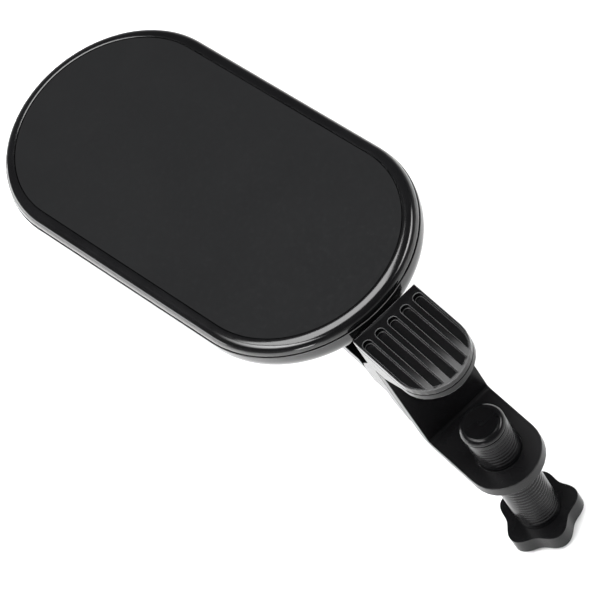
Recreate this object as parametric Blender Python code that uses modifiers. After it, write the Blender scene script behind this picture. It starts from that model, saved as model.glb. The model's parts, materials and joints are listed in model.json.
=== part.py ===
"""Clip-on handlebar mirror: a long round-ended mirror head on a ball joint, carried by a C-clamp.

The origin is the centre of the upper jaw's clamping face, on the clamping screw's axis.
+Z points out of the glass, +X points away from the head, and the handlebar runs along Y.
"""

import math

import bmesh
import bpy
from mathutils import Matrix, Vector

# ---------------------------------------------------------------- driving dimensions, metres
GAP = 0.0003

# heights above the clamping face, and the stud's place along the clamp
GLASS_Z = 0.0117
BALL_DEPTH = 0.0150
SWIVEL_X = -0.0510
BALL_Z = GLASS_Z - BALL_DEPTH
HEAD_TURN = math.radians(7.5)

# mirror head: an outline with round ends, and radii measured at those ends
HEAD_STRAIGHT = 0.0791
NEAR_END_X = -0.0144
GLASS_RADIUS = 0.0335
GLASS_THICK = 0.0020
BACKING_RADIUS = 0.0323
BACKING_THICK = 0.0006
LIP_INNER = GLASS_RADIUS + GAP
LIP_OUTER = GLASS_RADIUS + 0.0009
LIP_HEIGHT = 0.0004
RIM_RADIUS = 0.0381
PARTING_DEPTH = 0.0031
TRAY_DEPTH = 0.0032
TRAY_THICK = 0.0014
SKIRT_RADIUS = RIM_RADIUS - 0.0018
SKIRT_THICK = 0.0012
SKIRT_DEPTH = 0.0051
WALL = 0.0016
HOUSING_DEPTH = 0.0121
HOUSING_DOME = 0.0010
HOUSING_ROUND = 0.0070
END_STEPS = 20

# ball joint
BALL_RADIUS = 0.0070
CUP_INNER = BALL_RADIUS + GAP
CUP_OUTER = 0.0088
SOCKET_RADIUS = CUP_OUTER + GAP
BOSS_RADIUS = 0.0130
BOSS_TOP = 0.0100
BOSS_BOTTOM = -0.0074
RETAINER_RADIUS = 0.0128
RETAINER_THICK = 0.0013
RETAINER_MOUTH = 0.0061
RETAINER_COLLAR = 0.0013
RETAINER_SCREW_CIRCLE = 0.0110
RETAINER_SCREW_COUNT = 3
SHANK_RADIUS = 0.0030
COLLAR_RADIUS = 0.0046
COLLAR_THICK = 0.0010
WASHER_RADIUS = 0.0060
WASHER_THICK = 0.0008
NUT_FLATS = 0.0100
NUT_THICK = 0.0050

# upper jaw and neck, as heights below the glass (depths) and distances from the swivel axis
NECK_RADIUS = 0.0112
NECK_TOP = 0.0284
NECK_BOTTOM = 0.0334
NECK_SHOULDER_X = 0.0165
BLOCK_FOOT_X = 0.0190
BLOCK_BACK_X = 0.0248
BLOCK_SHOULDER = 0.0165
JAW_HALF_WIDTH = 0.0120
JAW_CENTRE_X = 0.0466
JAW_TOP = 0.0073
JAW_UNDER = 0.0094
JAW_FLAT_X = 0.0455
GUSSET_DEPTH = 0.0174
APRON_DEPTH = 0.0465
APRON_BACK_X = 0.0236
APRON_TAPER_DEPTH = 0.0398
APRON_EDGE = 0.0010
PAD_TOP = 0.0044
PAD_THICK = 0.0026
GROOVE_COUNT = 5
GROOVE_PITCH = 0.0049
GROOVE_WIDTH = 0.0029
GROOVE_DEPTH = 0.0018
GROOVE_START_X = 0.0292
GROOVE_RIM = 0.0022
LINER_INSET = 0.0015
LINER_START_X = 0.0460
LINER_THICK = 0.0020

# folded strap
STRAP_THICK = 0.0038
STRAP_FRONT_X = 0.0320
STRAP_HALF_WIDTH = 0.0120
STRAP_SHOULDER = 0.0177
TONGUE_HALF_WIDTH = 0.0090
TONGUE_TOP = 0.0120
SHELF_DEPTH = 0.0545
SHELF_CENTRE_X = 0.0529
BEND_INNER = 0.0010
STRAP_SCREW_Y = 0.0062
STRAP_SCREW_DEPTH = 0.0367
STRAP_SCREW_RADIUS = 0.0015
STRAP_HEAD_RADIUS = 0.0028
STRAP_HEAD_THICK = 0.0016

# clamping screw and hand knob
STUD_RADIUS = 0.0070
THREAD_PITCH = 0.0015
TIP_DEPTH = 0.0387
FOOT_THICK = 0.0023
FOOT_SOCKET_RADIUS = 0.0034
FOOT_SOCKET_DEPTH = 0.0013
KNOB_TOP_DEPTH = 0.0898
KNOB_THICK = 0.0058
KNOB_RADIUS = 0.0114
KNOB_LOBE = 0.0012
KNOB_LOBES = 5
KNOB_TURN = math.radians(-8.0)
KNOB_BORE = 0.0048
KNOB_SCREW_RADIUS = 0.0015
KNOB_SCREW_HEAD = 0.0030
KNOB_CAP_RADIUS = 0.0062
KNOB_CAP_THICK = 0.0010

# screws that close the head, as (distance from the swivel axis, sideways)
HEAD_SCREW_RADIUS = 0.0011
HEAD_SCREW_HEAD = 0.0021
HEAD_POST_RADIUS = 0.0030
HEAD_SCREW_Y = 0.0265
HEAD_SCREW_SEAT = 0.0127
HEAD_SCREW_PLACES = [
    (NEAR_END_X - share * HEAD_STRAIGHT, side * HEAD_SCREW_Y) for share in (0.15, 0.5, 0.85) for side in (-1, 1)
]

MATERIALS = {
    "mirror_face": ((0.055, 0.056, 0.058), 0.06, 1.0),
    "foam": ((0.03, 0.03, 0.03), 0.9, 0.0),
    "gloss_black": ((0.012, 0.012, 0.013), 0.16, 0.0),
    "satin_black": ((0.016, 0.016, 0.017), 0.42, 0.0),
    "strap_black": ((0.014, 0.014, 0.015), 0.5, 0.4),
    "rubber_black": ((0.012, 0.012, 0.012), 0.8, 0.0),
    "screw_black": ((0.02, 0.02, 0.021), 0.35, 0.0),
    "nylon": ((0.55, 0.54, 0.50), 0.5, 0.0),
    "zinc_steel": ((0.45, 0.45, 0.44), 0.3, 1.0),
}


# ---------------------------------------------------------------- scene and helpers
def clear_scene():
    for old in list(bpy.data.objects):
        bpy.data.objects.remove(old, do_unlink=True)


def collection(name):
    made = bpy.data.collections.new(name)
    bpy.context.scene.collection.children.link(made)
    return made


def material(name):
    found = bpy.data.materials.get(name)
    if found:
        return found
    colour, roughness, metallic = MATERIALS[name]
    made = bpy.data.materials.new(name)
    made.use_nodes = True
    shader = made.node_tree.nodes["Principled BSDF"]
    shader.inputs["Base Color"].default_value = (*colour, 1.0)
    shader.inputs["Roughness"].default_value = roughness
    shader.inputs["Metallic"].default_value = metallic
    return made


def empty(name, parts, place, turn=0.0):
    made = bpy.data.objects.new(name, None)
    made.location = place
    made.rotation_euler = (0.0, 0.0, turn)
    made.empty_display_size = 0.01
    parts.objects.link(made)
    return made


def finish_piece(obj, finish, parent):
    obj.data.materials.clear()
    obj.data.materials.append(material(finish))
    obj.parent = parent
    return obj


def smooth(mesh, degrees=40.0):
    mesh.shade_smooth()
    mesh.set_sharp_from_angle(angle=math.radians(degrees))


def piece_from_bmesh(name, bm, group):
    mesh = bpy.data.meshes.new(name)
    bmesh.ops.recalc_face_normals(bm, faces=bm.faces)
    if bm.calc_volume(signed=True) < 0:
        bmesh.ops.reverse_faces(bm, faces=bm.faces)
    bm.to_mesh(mesh)
    bm.free()
    smooth(mesh)
    made = bpy.data.objects.new(name, mesh)
    group.objects.link(made)
    return made


def arc(centre, radius, start, end, steps):
    """Points along an arc in degrees, both ends included."""
    turn = [math.radians(start + (end - start) * i / steps) for i in range(steps + 1)]
    return [(centre[0] + radius * math.cos(a), centre[1] + radius * math.sin(a)) for a in turn]


def lathe(name, profile, group, steps=40):
    """A turned solid about Z. The profile, at +X, runs down its outer side from top to bottom."""
    mesh = bpy.data.meshes.new(name)
    points = [(r, 0.0, z) for r, z in profile]
    closed = profile[0][0] > 0.0
    count = len(points)
    edges = [(i, (i + 1) % count) for i in range(count if closed else count - 1)]
    mesh.from_pydata(points, edges, [])
    made = bpy.data.objects.new(name, mesh)
    group.objects.link(made)
    screw = made.modifiers.new("turn", "SCREW")
    screw.axis = "Z"
    screw.angle = math.tau
    screw.steps = steps
    screw.render_steps = steps
    screw.use_merge_vertices = True
    screw.merge_threshold = 0.000002
    return made


def plate(name, outline, thickness, group, matrix=None):
    """A flat outline in XY, extruded evenly about Z = 0, then moved by the matrix and made a mesh."""
    curve = bpy.data.curves.new(name + "_outline", "CURVE")
    curve.dimensions = "2D"
    curve.fill_mode = "BOTH"
    curve.extrude = thickness / 2
    spline = curve.splines.new("POLY")
    spline.points.add(len(outline) - 1)
    for point, (x, y) in zip(spline.points, outline):
        point.co = (x, y, 0.0, 1.0)
    spline.use_cyclic_u = True
    drawn = bpy.data.objects.new(name + "_curve", curve)
    bpy.context.scene.collection.objects.link(drawn)
    bpy.context.view_layer.update()
    mesh = bpy.data.meshes.new_from_object(drawn.evaluated_get(bpy.context.evaluated_depsgraph_get()))
    bpy.data.objects.remove(drawn, do_unlink=True)
    bm = bmesh.new()
    bm.from_mesh(mesh)
    bmesh.ops.remove_doubles(bm, verts=bm.verts, dist=0.000001)
    if matrix:
        bm.transform(matrix)
    bpy.data.meshes.remove(mesh)
    return piece_from_bmesh(name, bm, group)


def side_plate(name, outline, thickness, group):
    """An outline in XZ, extruded evenly about Y = 0."""
    return plate(name, outline, thickness, group, Matrix.Rotation(math.pi / 2, 4, "X"))


def plan_plate(name, outline, low, high, group):
    """An outline in XY between two heights."""
    return plate(name, outline, high - low, group, Matrix.Translation((0.0, 0.0, (low + high) / 2)))


def cylinder(name, radius, low, high, group, place=(0.0, 0.0), axis="Z", steps=24, tip_radius=None):
    """A cylinder or cone from low to high along an axis, through a place on the other two."""
    bm = bmesh.new()
    bmesh.ops.create_cone(
        bm,
        cap_ends=True,
        segments=steps,
        radius1=radius,
        radius2=radius if tip_radius is None else tip_radius,
        depth=high - low,
    )
    middle = (low + high) / 2
    if axis == "Z":
        matrix = Matrix.Translation((place[0], place[1], middle))
    else:
        matrix = Matrix.Translation((middle, place[0], place[1])) @ Matrix.Rotation(math.pi / 2, 4, "Y")
    bm.transform(matrix)
    return piece_from_bmesh(name, bm, group)


def block(name, low, high, group):
    """A box between two corners."""
    bm = bmesh.new()
    bmesh.ops.create_cube(bm, size=1.0)
    size = Vector(high) - Vector(low)
    bm.transform(Matrix.Translation((Vector(low) + Vector(high)) / 2) @ Matrix.Diagonal((*size, 1.0)))
    return piece_from_bmesh(name, bm, group)


def hide(cutter):
    cutter.hide_render = True
    cutter.display_type = "WIRE"
    return cutter


def combine(obj, tool, operation):
    step = obj.modifiers.new(operation.lower() + "_" + tool.name, "BOOLEAN")
    step.operation = operation
    step.solver = "EXACT"
    step.object = hide(tool)
    tool.parent = obj.parent
    return obj


def obround(name, profile, group):
    """Sweeps a profile of (radius, height) points round an outline with two half-round ends.

    The near end is centred on NEAR_END_X, and the far end HEAD_STRAIGHT away along -X. A profile that starts
    and ends on the axis makes a closed plate or tray, and any other profile a ring.
    """
    bm = bmesh.new()
    row = [bm.verts.new((NEAR_END_X, r, z)) for r, z in profile]
    ring = profile[0][0] > 0.0
    count = len(row)
    line = [bm.edges.new((row[i], row[(i + 1) % count])) for i in range(count if ring else count - 1)]
    for centre_x, shift in ((NEAR_END_X, -HEAD_STRAIGHT), (NEAR_END_X - HEAD_STRAIGHT, HEAD_STRAIGHT)):
        turned = bmesh.ops.spin(
            bm, geom=line, cent=(centre_x, 0.0, 0.0), axis=(0.0, 0.0, -1.0), angle=math.pi, steps=END_STEPS
        )
        line = [g for g in turned["geom_last"] if isinstance(g, bmesh.types.BMEdge)]
        drawn = bmesh.ops.extrude_edge_only(bm, edges=line)
        moved = [g for g in drawn["geom"] if isinstance(g, bmesh.types.BMVert)]
        bmesh.ops.translate(bm, verts=moved, vec=(shift, 0.0, 0.0))
        line = [g for g in drawn["geom"] if isinstance(g, bmesh.types.BMEdge)]
        line = [e for e in line if all(v in moved for v in e.verts)]
    bmesh.ops.remove_doubles(bm, verts=bm.verts, dist=0.000005)
    bmesh.ops.dissolve_degenerate(bm, edges=bm.edges, dist=0.000001)
    return piece_from_bmesh(name, bm, group)


def glass_frame(depth):
    """Height above the ball's centre of a level given as a depth below the glass."""
    return BALL_DEPTH - depth


def place_x(distance):
    """World X of a distance from the swivel axis."""
    return SWIVEL_X + distance


def place_z(depth):
    """World Z of a depth below the glass."""
    return GLASS_Z - depth


def world_outline(points):
    return [(place_x(x), place_z(d)) for x, d in points]


def plan_outline(points):
    return [(place_x(x), y) for x, y in points]


# ---------------------------------------------------------------- mirror head
def make_glass(parts, head):
    top = glass_frame(0.0)
    profile = [(0.0, top), (GLASS_RADIUS, top), (GLASS_RADIUS, top - GLASS_THICK), (0.0, top - GLASS_THICK)]
    finish_piece(obround("mirror_glass", profile, parts), "mirror_face", head)


def make_backing(parts, head):
    top = glass_frame(GLASS_THICK + GAP)
    low = top - BACKING_THICK
    profile = [(0.0, top), (BACKING_RADIUS, top), (BACKING_RADIUS, low), (0.0, low)]
    finish_piece(obround("glass_backing", profile, parts), "foam", head)


def make_bezel(parts, cutters, head):
    lip_top = glass_frame(-LIP_HEIGHT)
    parting = glass_frame(PARTING_DEPTH)
    tray = glass_frame(TRAY_DEPTH)
    under = tray - TRAY_THICK
    skirt_low = glass_frame(SKIRT_DEPTH)
    rim = RIM_RADIUS - 0.0003
    reach = rim - LIP_OUTER
    drop = lip_top - parting
    turns = [math.radians(90 * i / 7) for i in range(8)]
    shoulder = [(LIP_OUTER + reach * math.sin(a), parting + drop * math.cos(a)) for a in turns]
    profile = [(0.0, tray), (LIP_INNER, tray), (LIP_INNER, lip_top)]
    profile += shoulder
    profile += [
        (SKIRT_RADIUS, parting),
        (SKIRT_RADIUS, skirt_low),
        (SKIRT_RADIUS - SKIRT_THICK, skirt_low),
        (SKIRT_RADIUS - SKIRT_THICK, under),
        (0.0, under),
    ]
    bezel = finish_piece(obround("bezel", profile, parts), "gloss_black", head)
    post_low = glass_frame(HOUSING_DEPTH - WALL) + GAP
    for i, place in enumerate(HEAD_SCREW_PLACES):
        post = cylinder(f"bezel_post_{i}", HEAD_POST_RADIUS, post_low, under + 0.0005, cutters, place, steps=16)
        combine(bezel, post, "UNION")
    for i, place in enumerate(HEAD_SCREW_PLACES):
        hole = cylinder(
            f"bezel_hole_{i}", HEAD_SCREW_RADIUS + GAP, post_low - 0.001, under - 0.0005, cutters, place, steps=12
        )
        combine(bezel, hole, "DIFFERENCE")
    return bezel


def housing_profile(inset):
    """The rear housing's outer surface, or its inner one, moved in by inset, from the rim to the axis."""
    back = glass_frame(HOUSING_DEPTH) + inset
    radius = RIM_RADIUS - inset
    curve = HOUSING_ROUND - inset * 0.6
    corner = [
        (radius - curve + curve * math.cos(a), back + curve - curve * math.sin(a))
        for a in (math.radians(90 * i / 6) for i in range(7))
    ]
    flat = radius - curve
    dome = [
        (flat * (1 - t), back - HOUSING_DOME * (1 - (1 - t) ** 2) * 1.0) for t in (0.25, 0.5, 0.75, 1.0)
    ]
    return corner + dome


def make_housing(parts, cutters, head):
    top = glass_frame(PARTING_DEPTH) - GAP
    outer = [(RIM_RADIUS, top)] + housing_profile(0.0)
    inner = [(RIM_RADIUS - WALL, top)] + housing_profile(WALL)
    profile = list(reversed(inner)) + outer
    housing = finish_piece(obround("rear_housing", profile, parts), "gloss_black", head)
    boss = cylinder("socket_boss", BOSS_RADIUS, BOSS_BOTTOM, BOSS_TOP, cutters, steps=40)
    combine(housing, boss, "UNION")
    cavity_profile = [(0.0, SOCKET_RADIUS)]
    cavity_profile += arc((0.0, 0.0), SOCKET_RADIUS, 80, 0, 8)
    cavity_profile += [(SOCKET_RADIUS, BOSS_BOTTOM - 0.001), (0.0, BOSS_BOTTOM - 0.001)]
    cavity = lathe("socket_cavity", cavity_profile, cutters, steps=32)
    combine(housing, cavity, "DIFFERENCE")
    for i in range(RETAINER_SCREW_COUNT):
        a = math.tau * i / RETAINER_SCREW_COUNT
        place = (RETAINER_SCREW_CIRCLE * math.cos(a), RETAINER_SCREW_CIRCLE * math.sin(a))
        hole = cylinder(f"boss_hole_{i}", 0.0011, BOSS_BOTTOM - 0.001, BOSS_BOTTOM + 0.0055, cutters, place, steps=12)
        combine(housing, hole, "DIFFERENCE")
    back = glass_frame(HOUSING_DEPTH) - HOUSING_DOME
    for i, place in enumerate(HEAD_SCREW_PLACES):
        hole = cylinder(
            f"housing_hole_{i}", HEAD_SCREW_RADIUS + GAP, back - 0.002, back + 0.005, cutters, place, steps=12
        )
        combine(housing, hole, "DIFFERENCE")
    return housing


def make_housing_screws(parts, head):
    seat = glass_frame(HEAD_SCREW_SEAT)
    profile = [
        (0.0, seat + 0.0070),
        (HEAD_SCREW_RADIUS, seat + 0.0064),
        (HEAD_SCREW_RADIUS, seat),
        (HEAD_SCREW_HEAD, seat),
        (HEAD_SCREW_HEAD, seat - 0.0006),
        (HEAD_SCREW_HEAD * 0.7, seat - 0.0011),
        (0.0, seat - 0.0011),
    ]
    for i, (x, y) in enumerate(HEAD_SCREW_PLACES, 1):
        screw = finish_piece(lathe(f"housing_screw_{i}", profile, parts, steps=14), "zinc_steel", head)
        screw.location = (x, y, 0.0)


# ---------------------------------------------------------------- ball joint
def cup(name, start, end, parts, parent):
    """A spherical shell between two angles from the top, in degrees."""
    outside = arc((0.0, 0.0), CUP_OUTER, 90 - start, 90 - end, 6)
    inside = arc((0.0, 0.0), CUP_INNER, 90 - end, 90 - start, 6)
    if start == 0:
        outside[0] = (0.0, CUP_OUTER)
        inside[-1] = (0.0, CUP_INNER)
    return finish_piece(lathe(name, outside + inside, parts, steps=28), "nylon", parent)


def make_retainer(parts, cutters, head):
    top = BOSS_BOTTOM - GAP
    low = top - RETAINER_THICK
    collar = SOCKET_RADIUS - GAP
    profile = [
        (RETAINER_MOUTH, top + RETAINER_COLLAR),
        (collar, top + RETAINER_COLLAR),
        (collar, top),
        (RETAINER_RADIUS, top),
        (RETAINER_RADIUS, low + 0.0004),
        (RETAINER_RADIUS - 0.0004, low),
        (RETAINER_MOUTH + 0.0006, low),
    ]
    ring = finish_piece(lathe("socket_retainer", profile, parts), "satin_black", head)
    for i in range(RETAINER_SCREW_COUNT):
        a = math.tau * i / RETAINER_SCREW_COUNT
        place = (RETAINER_SCREW_CIRCLE * math.cos(a), RETAINER_SCREW_CIRCLE * math.sin(a))
        hole = cylinder(f"retainer_hole_{i}", 0.0011, low - 0.001, top + 0.001, cutters, place, steps=12)
        combine(ring, hole, "DIFFERENCE")


def make_retainer_screws(parts, head):
    low = BOSS_BOTTOM - GAP - RETAINER_THICK
    radius = 0.0008
    head_radius = 0.0015
    profile = [
        (0.0, low + 0.0062),
        (radius, low + 0.0058),
        (radius, low - GAP),
        (head_radius, low - GAP),
        (head_radius, low - 0.0008),
        (head_radius * 0.6, low - 0.0011),
        (0.0, low - 0.0011),
    ]
    for i in range(RETAINER_SCREW_COUNT):
        a = math.tau * i / RETAINER_SCREW_COUNT
        screw = finish_piece(lathe(f"retainer_screw_{i + 1}", profile, parts, steps=12), "zinc_steel", head)
        screw.location = (RETAINER_SCREW_CIRCLE * math.cos(a), RETAINER_SCREW_CIRCLE * math.sin(a), 0.0)


def make_ball_stud(parts, ball):
    neck_top = glass_frame(NECK_TOP)
    neck_low = glass_frame(NECK_BOTTOM)
    collar_low = neck_top + 2 * GAP + WASHER_THICK
    end = neck_low - 3 * GAP - 2 * WASHER_THICK - NUT_THICK - 0.0012
    neck_angle = math.degrees(math.asin(SHANK_RADIUS / BALL_RADIUS))
    ball_arc = arc((0.0, 0.0), BALL_RADIUS, 80, -90 + neck_angle, 12)
    profile = [(0.0, BALL_RADIUS)] + ball_arc
    profile += [
        (SHANK_RADIUS, collar_low + COLLAR_THICK),
        (COLLAR_RADIUS, collar_low + COLLAR_THICK),
        (COLLAR_RADIUS, collar_low),
        (SHANK_RADIUS, collar_low),
        (SHANK_RADIUS, end + 0.0006),
        (SHANK_RADIUS - 0.0006, end),
        (0.0, end),
    ]
    finish_piece(lathe("ball_stud", profile, parts, steps=32), "zinc_steel", ball)


def make_washers(parts, ball):
    neck_top = glass_frame(NECK_TOP)
    neck_low = glass_frame(NECK_BOTTOM)
    bore = SHANK_RADIUS + GAP
    places = {
        "friction_washer": (neck_top + GAP, WASHER_RADIUS, "nylon"),
        "flat_washer": (neck_low - GAP - WASHER_THICK, WASHER_RADIUS, "zinc_steel"),
        "spring_washer": (neck_low - 2 * GAP - 2 * WASHER_THICK, WASHER_RADIUS - 0.0009, "zinc_steel"),
    }
    for name, (low, radius, finish) in places.items():
        high = low + WASHER_THICK
        profile = [(bore, high), (radius, high), (radius, low), (bore, low)]
        finish_piece(lathe(name, profile, parts, steps=28), finish, ball)


def make_lock_nut(parts, cutters, ball):
    high = glass_frame(NECK_BOTTOM) - 3 * GAP - 2 * WASHER_THICK
    nut = cylinder("lock_nut", NUT_FLATS / 2 / math.cos(math.pi / 6), high - NUT_THICK, high, parts, steps=6)
    finish_piece(nut, "zinc_steel", ball)
    bore = cylinder("nut_bore", SHANK_RADIUS + GAP, high - NUT_THICK - 0.001, high + 0.001, cutters, steps=28)
    combine(nut, bore, "DIFFERENCE")


# ---------------------------------------------------------------- clamp
def jaw_plan(inset=0.0, start=None):
    """The upper jaw's plan: straight sides and a half-round tip, in world X and Y."""
    half = JAW_HALF_WIDTH - inset
    start = BLOCK_BACK_X if start is None else start
    tip = arc((JAW_CENTRE_X, 0.0), half, -90, 90, 16)
    return plan_outline([(start, half), (start, -half)] + tip)


def make_upper_jaw(parts, cutters, clamp):
    tip_x = JAW_CENTRE_X + JAW_HALF_WIDTH + 0.001
    strap_back = STRAP_FRONT_X - STRAP_THICK - GAP
    front = STRAP_FRONT_X + GAP
    side = world_outline(
        [
            (-NECK_RADIUS - 0.001, NECK_TOP),
            (NECK_SHOULDER_X, NECK_TOP),
            (BLOCK_FOOT_X, (NECK_TOP + BLOCK_SHOULDER) / 2),
            (BLOCK_BACK_X, BLOCK_SHOULDER),
            (BLOCK_BACK_X, JAW_TOP),
            (tip_x, JAW_TOP),
            (tip_x, JAW_UNDER),
            (JAW_FLAT_X, JAW_UNDER),
            (front, GUSSET_DEPTH),
            (strap_back, GUSSET_DEPTH),
            (strap_back, APRON_DEPTH),
            (strap_back - APRON_EDGE, APRON_DEPTH),
            (APRON_BACK_X, APRON_TAPER_DEPTH),
            (APRON_BACK_X, NECK_BOTTOM),
            (-NECK_RADIUS - 0.001, NECK_BOTTOM),
        ]
    )
    jaw = finish_piece(side_plate("upper_jaw", side, 2 * JAW_HALF_WIDTH + 0.002, parts), "gloss_black", clamp)
    tip = arc((JAW_CENTRE_X, 0.0), JAW_HALF_WIDTH, -90, 90, 16)
    neck_end = arc((0.0, 0.0), NECK_RADIUS, 90, 270, 14)
    taper = [(BLOCK_FOOT_X - 0.0010, JAW_HALF_WIDTH), (NECK_SHOULDER_X - 0.0045, NECK_RADIUS)]
    other_taper = [(x, -y) for x, y in reversed(taper)]
    plan = plan_outline(tip + taper + neck_end + other_taper)
    limit = plan_plate("jaw_plan", plan, place_z(0.060), place_z(0.0), cutters)
    combine(jaw, limit, "INTERSECT")
    slot = block(
        "tongue_slot",
        (place_x(strap_back), -TONGUE_HALF_WIDTH - GAP, place_z(GUSSET_DEPTH + 0.001)),
        (place_x(front), TONGUE_HALF_WIDTH + GAP, place_z(TONGUE_TOP - GAP)),
        cutters,
    )
    combine(jaw, slot, "DIFFERENCE")
    hole = cylinder(
        "neck_hole", SHANK_RADIUS + GAP, place_z(NECK_BOTTOM) - 0.001, place_z(NECK_TOP) + 0.001, cutters,
        (SWIVEL_X, 0.0), steps=28,
    )
    combine(jaw, hole, "DIFFERENCE")
    for i, y in enumerate((-STRAP_SCREW_Y, STRAP_SCREW_Y)):
        bore = cylinder(
            f"apron_hole_{i}", STRAP_SCREW_RADIUS + GAP, place_x(APRON_BACK_X) - 0.001, place_x(strap_back) + 0.001,
            cutters, (y, place_z(STRAP_SCREW_DEPTH)), axis="X", steps=16,
        )
        combine(jaw, bore, "DIFFERENCE")


def make_jaw_pad(parts, cutters, clamp):
    low = place_z(PAD_TOP + PAD_THICK)
    high = place_z(PAD_TOP)
    pad = finish_piece(plan_plate("jaw_pad", jaw_plan(), low, high, parts), "gloss_black", clamp)
    round_radius = JAW_HALF_WIDTH - GROOVE_RIM
    half = GROOVE_WIDTH / 2
    for i in range(GROOVE_COUNT):
        y = (i - (GROOVE_COUNT - 1) / 2) * GROOVE_PITCH
        ends = []
        for edge in (y - half, y + half):
            inside = min(abs(edge), round_radius)
            ends.append(JAW_CENTRE_X + math.sqrt(round_radius ** 2 - inside ** 2))
        middle = JAW_CENTRE_X + math.sqrt(round_radius ** 2 - min(abs(y), round_radius) ** 2)
        start = arc((GROOVE_START_X, y), half, 90, 270, 8)
        outline = plan_outline(start + [(ends[0], y - half), (middle, y), (ends[1], y + half)])
        groove = plan_plate(f"groove_{i}", outline, high - GROOVE_DEPTH, high + 0.001, cutters)
        combine(pad, groove, "DIFFERENCE")


def make_liner(parts, clamp):
    high = place_z(JAW_UNDER) - GAP
    outline = jaw_plan(LINER_INSET, LINER_START_X)
    finish_piece(plan_plate("jaw_liner", outline, high - LINER_THICK, high, parts), "rubber_black", clamp)


def make_strap(parts, cutters, clamp):
    back = STRAP_FRONT_X - STRAP_THICK
    outer = BEND_INNER + STRAP_THICK
    end = SHELF_CENTRE_X + STRAP_HALF_WIDTH + 0.001
    inner_bend = arc((STRAP_FRONT_X + BEND_INNER, SHELF_DEPTH - BEND_INNER), BEND_INNER, 180, 90, 4)
    outer_bend = arc((back + outer, SHELF_DEPTH + STRAP_THICK - outer), outer, 90, 180, 8)
    side = [(back, STRAP_SHOULDER), (STRAP_FRONT_X, STRAP_SHOULDER)] + inner_bend
    side += [(end, SHELF_DEPTH), (end, SHELF_DEPTH + STRAP_THICK)] + outer_bend
    strap = side_plate("clamp_strap", world_outline(side), 2 * STRAP_HALF_WIDTH + 0.002, parts)
    finish_piece(strap, "strap_black", clamp)
    tip = arc((SHELF_CENTRE_X, 0.0), STRAP_HALF_WIDTH, -90, 90, 16)
    plan = plan_outline([(back - 0.002, STRAP_HALF_WIDTH), (back - 0.002, -STRAP_HALF_WIDTH)] + tip)
    limit = plan_plate("strap_plan", plan, place_z(0.070), place_z(0.0), cutters)
    combine(strap, limit, "INTERSECT")
    tongue = block(
        "strap_tongue",
        (place_x(back), -TONGUE_HALF_WIDTH, place_z(STRAP_SHOULDER + 0.002)),
        (place_x(STRAP_FRONT_X), TONGUE_HALF_WIDTH, place_z(TONGUE_TOP)),
        cutters,
    )
    combine(strap, tongue, "UNION")
    hole = cylinder(
        "stud_hole", STUD_RADIUS + GAP, place_z(SHELF_DEPTH + STRAP_THICK) - 0.001, place_z(SHELF_DEPTH) + 0.001,
        cutters, steps=40,
    )
    combine(strap, hole, "DIFFERENCE")
    for i, y in enumerate((-STRAP_SCREW_Y, STRAP_SCREW_Y)):
        bore = cylinder(
            f"strap_hole_{i}", STRAP_SCREW_RADIUS + GAP, place_x(back) - 0.001, place_x(STRAP_FRONT_X) - 0.0010,
            cutters, (y, place_z(STRAP_SCREW_DEPTH)), axis="X", steps=16,
        )
        combine(strap, bore, "DIFFERENCE")


def make_strap_screws(parts, clamp):
    length = STRAP_FRONT_X - 0.0014 - APRON_BACK_X
    profile = [
        (0.0, STRAP_HEAD_THICK),
        (STRAP_HEAD_RADIUS * 0.7, STRAP_HEAD_THICK),
        (STRAP_HEAD_RADIUS, STRAP_HEAD_THICK * 0.5),
        (STRAP_HEAD_RADIUS, GAP),
        (STRAP_SCREW_RADIUS, GAP),
        (STRAP_SCREW_RADIUS, 0.0004 - length),
        (STRAP_SCREW_RADIUS - 0.0004, -length),
        (0.0, -length),
    ]
    for i, y in enumerate((-STRAP_SCREW_Y, STRAP_SCREW_Y), 1):
        screw = finish_piece(lathe(f"strap_screw_{i}", profile, parts, steps=20), "zinc_steel", clamp)
        screw.rotation_euler = (0.0, -math.pi / 2, 0.0)
        screw.location = (place_x(APRON_BACK_X), y, place_z(STRAP_SCREW_DEPTH))


# ---------------------------------------------------------------- clamping screw
def make_foot(parts, screw):
    high = place_z(TIP_DEPTH)
    low = high - FOOT_THICK
    profile = [
        (0.0, high),
        (STUD_RADIUS - 0.0012, high),
        (STUD_RADIUS, high - 0.0010),
        (STUD_RADIUS, low),
        (FOOT_SOCKET_RADIUS, low),
        (FOOT_SOCKET_RADIUS, low + FOOT_SOCKET_DEPTH),
        (0.0, low + FOOT_SOCKET_DEPTH),
    ]
    finish_piece(lathe("pressure_foot", profile, parts), "screw_black", screw)


def make_screw(parts, screw):
    foot_low = place_z(TIP_DEPTH) - FOOT_THICK
    high = foot_low - GAP
    knob_top = place_z(KNOB_TOP_DEPTH)
    end = knob_top - 0.0034
    pin = FOOT_SOCKET_RADIUS - GAP
    pilot = KNOB_SCREW_RADIUS + GAP
    profile = [
        (0.0, foot_low + FOOT_SOCKET_DEPTH - GAP),
        (pin, foot_low + FOOT_SOCKET_DEPTH - GAP),
        (pin, high),
        (STUD_RADIUS - 0.0006, high),
        (STUD_RADIUS, high - 0.0006),
        (STUD_RADIUS, knob_top + GAP),
        (KNOB_BORE - GAP, knob_top + GAP),
        (KNOB_BORE - GAP, end),
        (pilot, end),
        (pilot, end + 0.010),
        (0.0, end + 0.011),
    ]
    finish_piece(lathe("clamp_screw", profile, parts, steps=48), "screw_black", screw)


def knob_outline(steps=80):
    points = []
    for i in range(steps):
        a = math.tau * i / steps
        r = KNOB_RADIUS + KNOB_LOBE * math.cos(KNOB_LOBES * (a - KNOB_TURN))
        points.append((r * math.cos(a), r * math.sin(a)))
    return points


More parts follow.
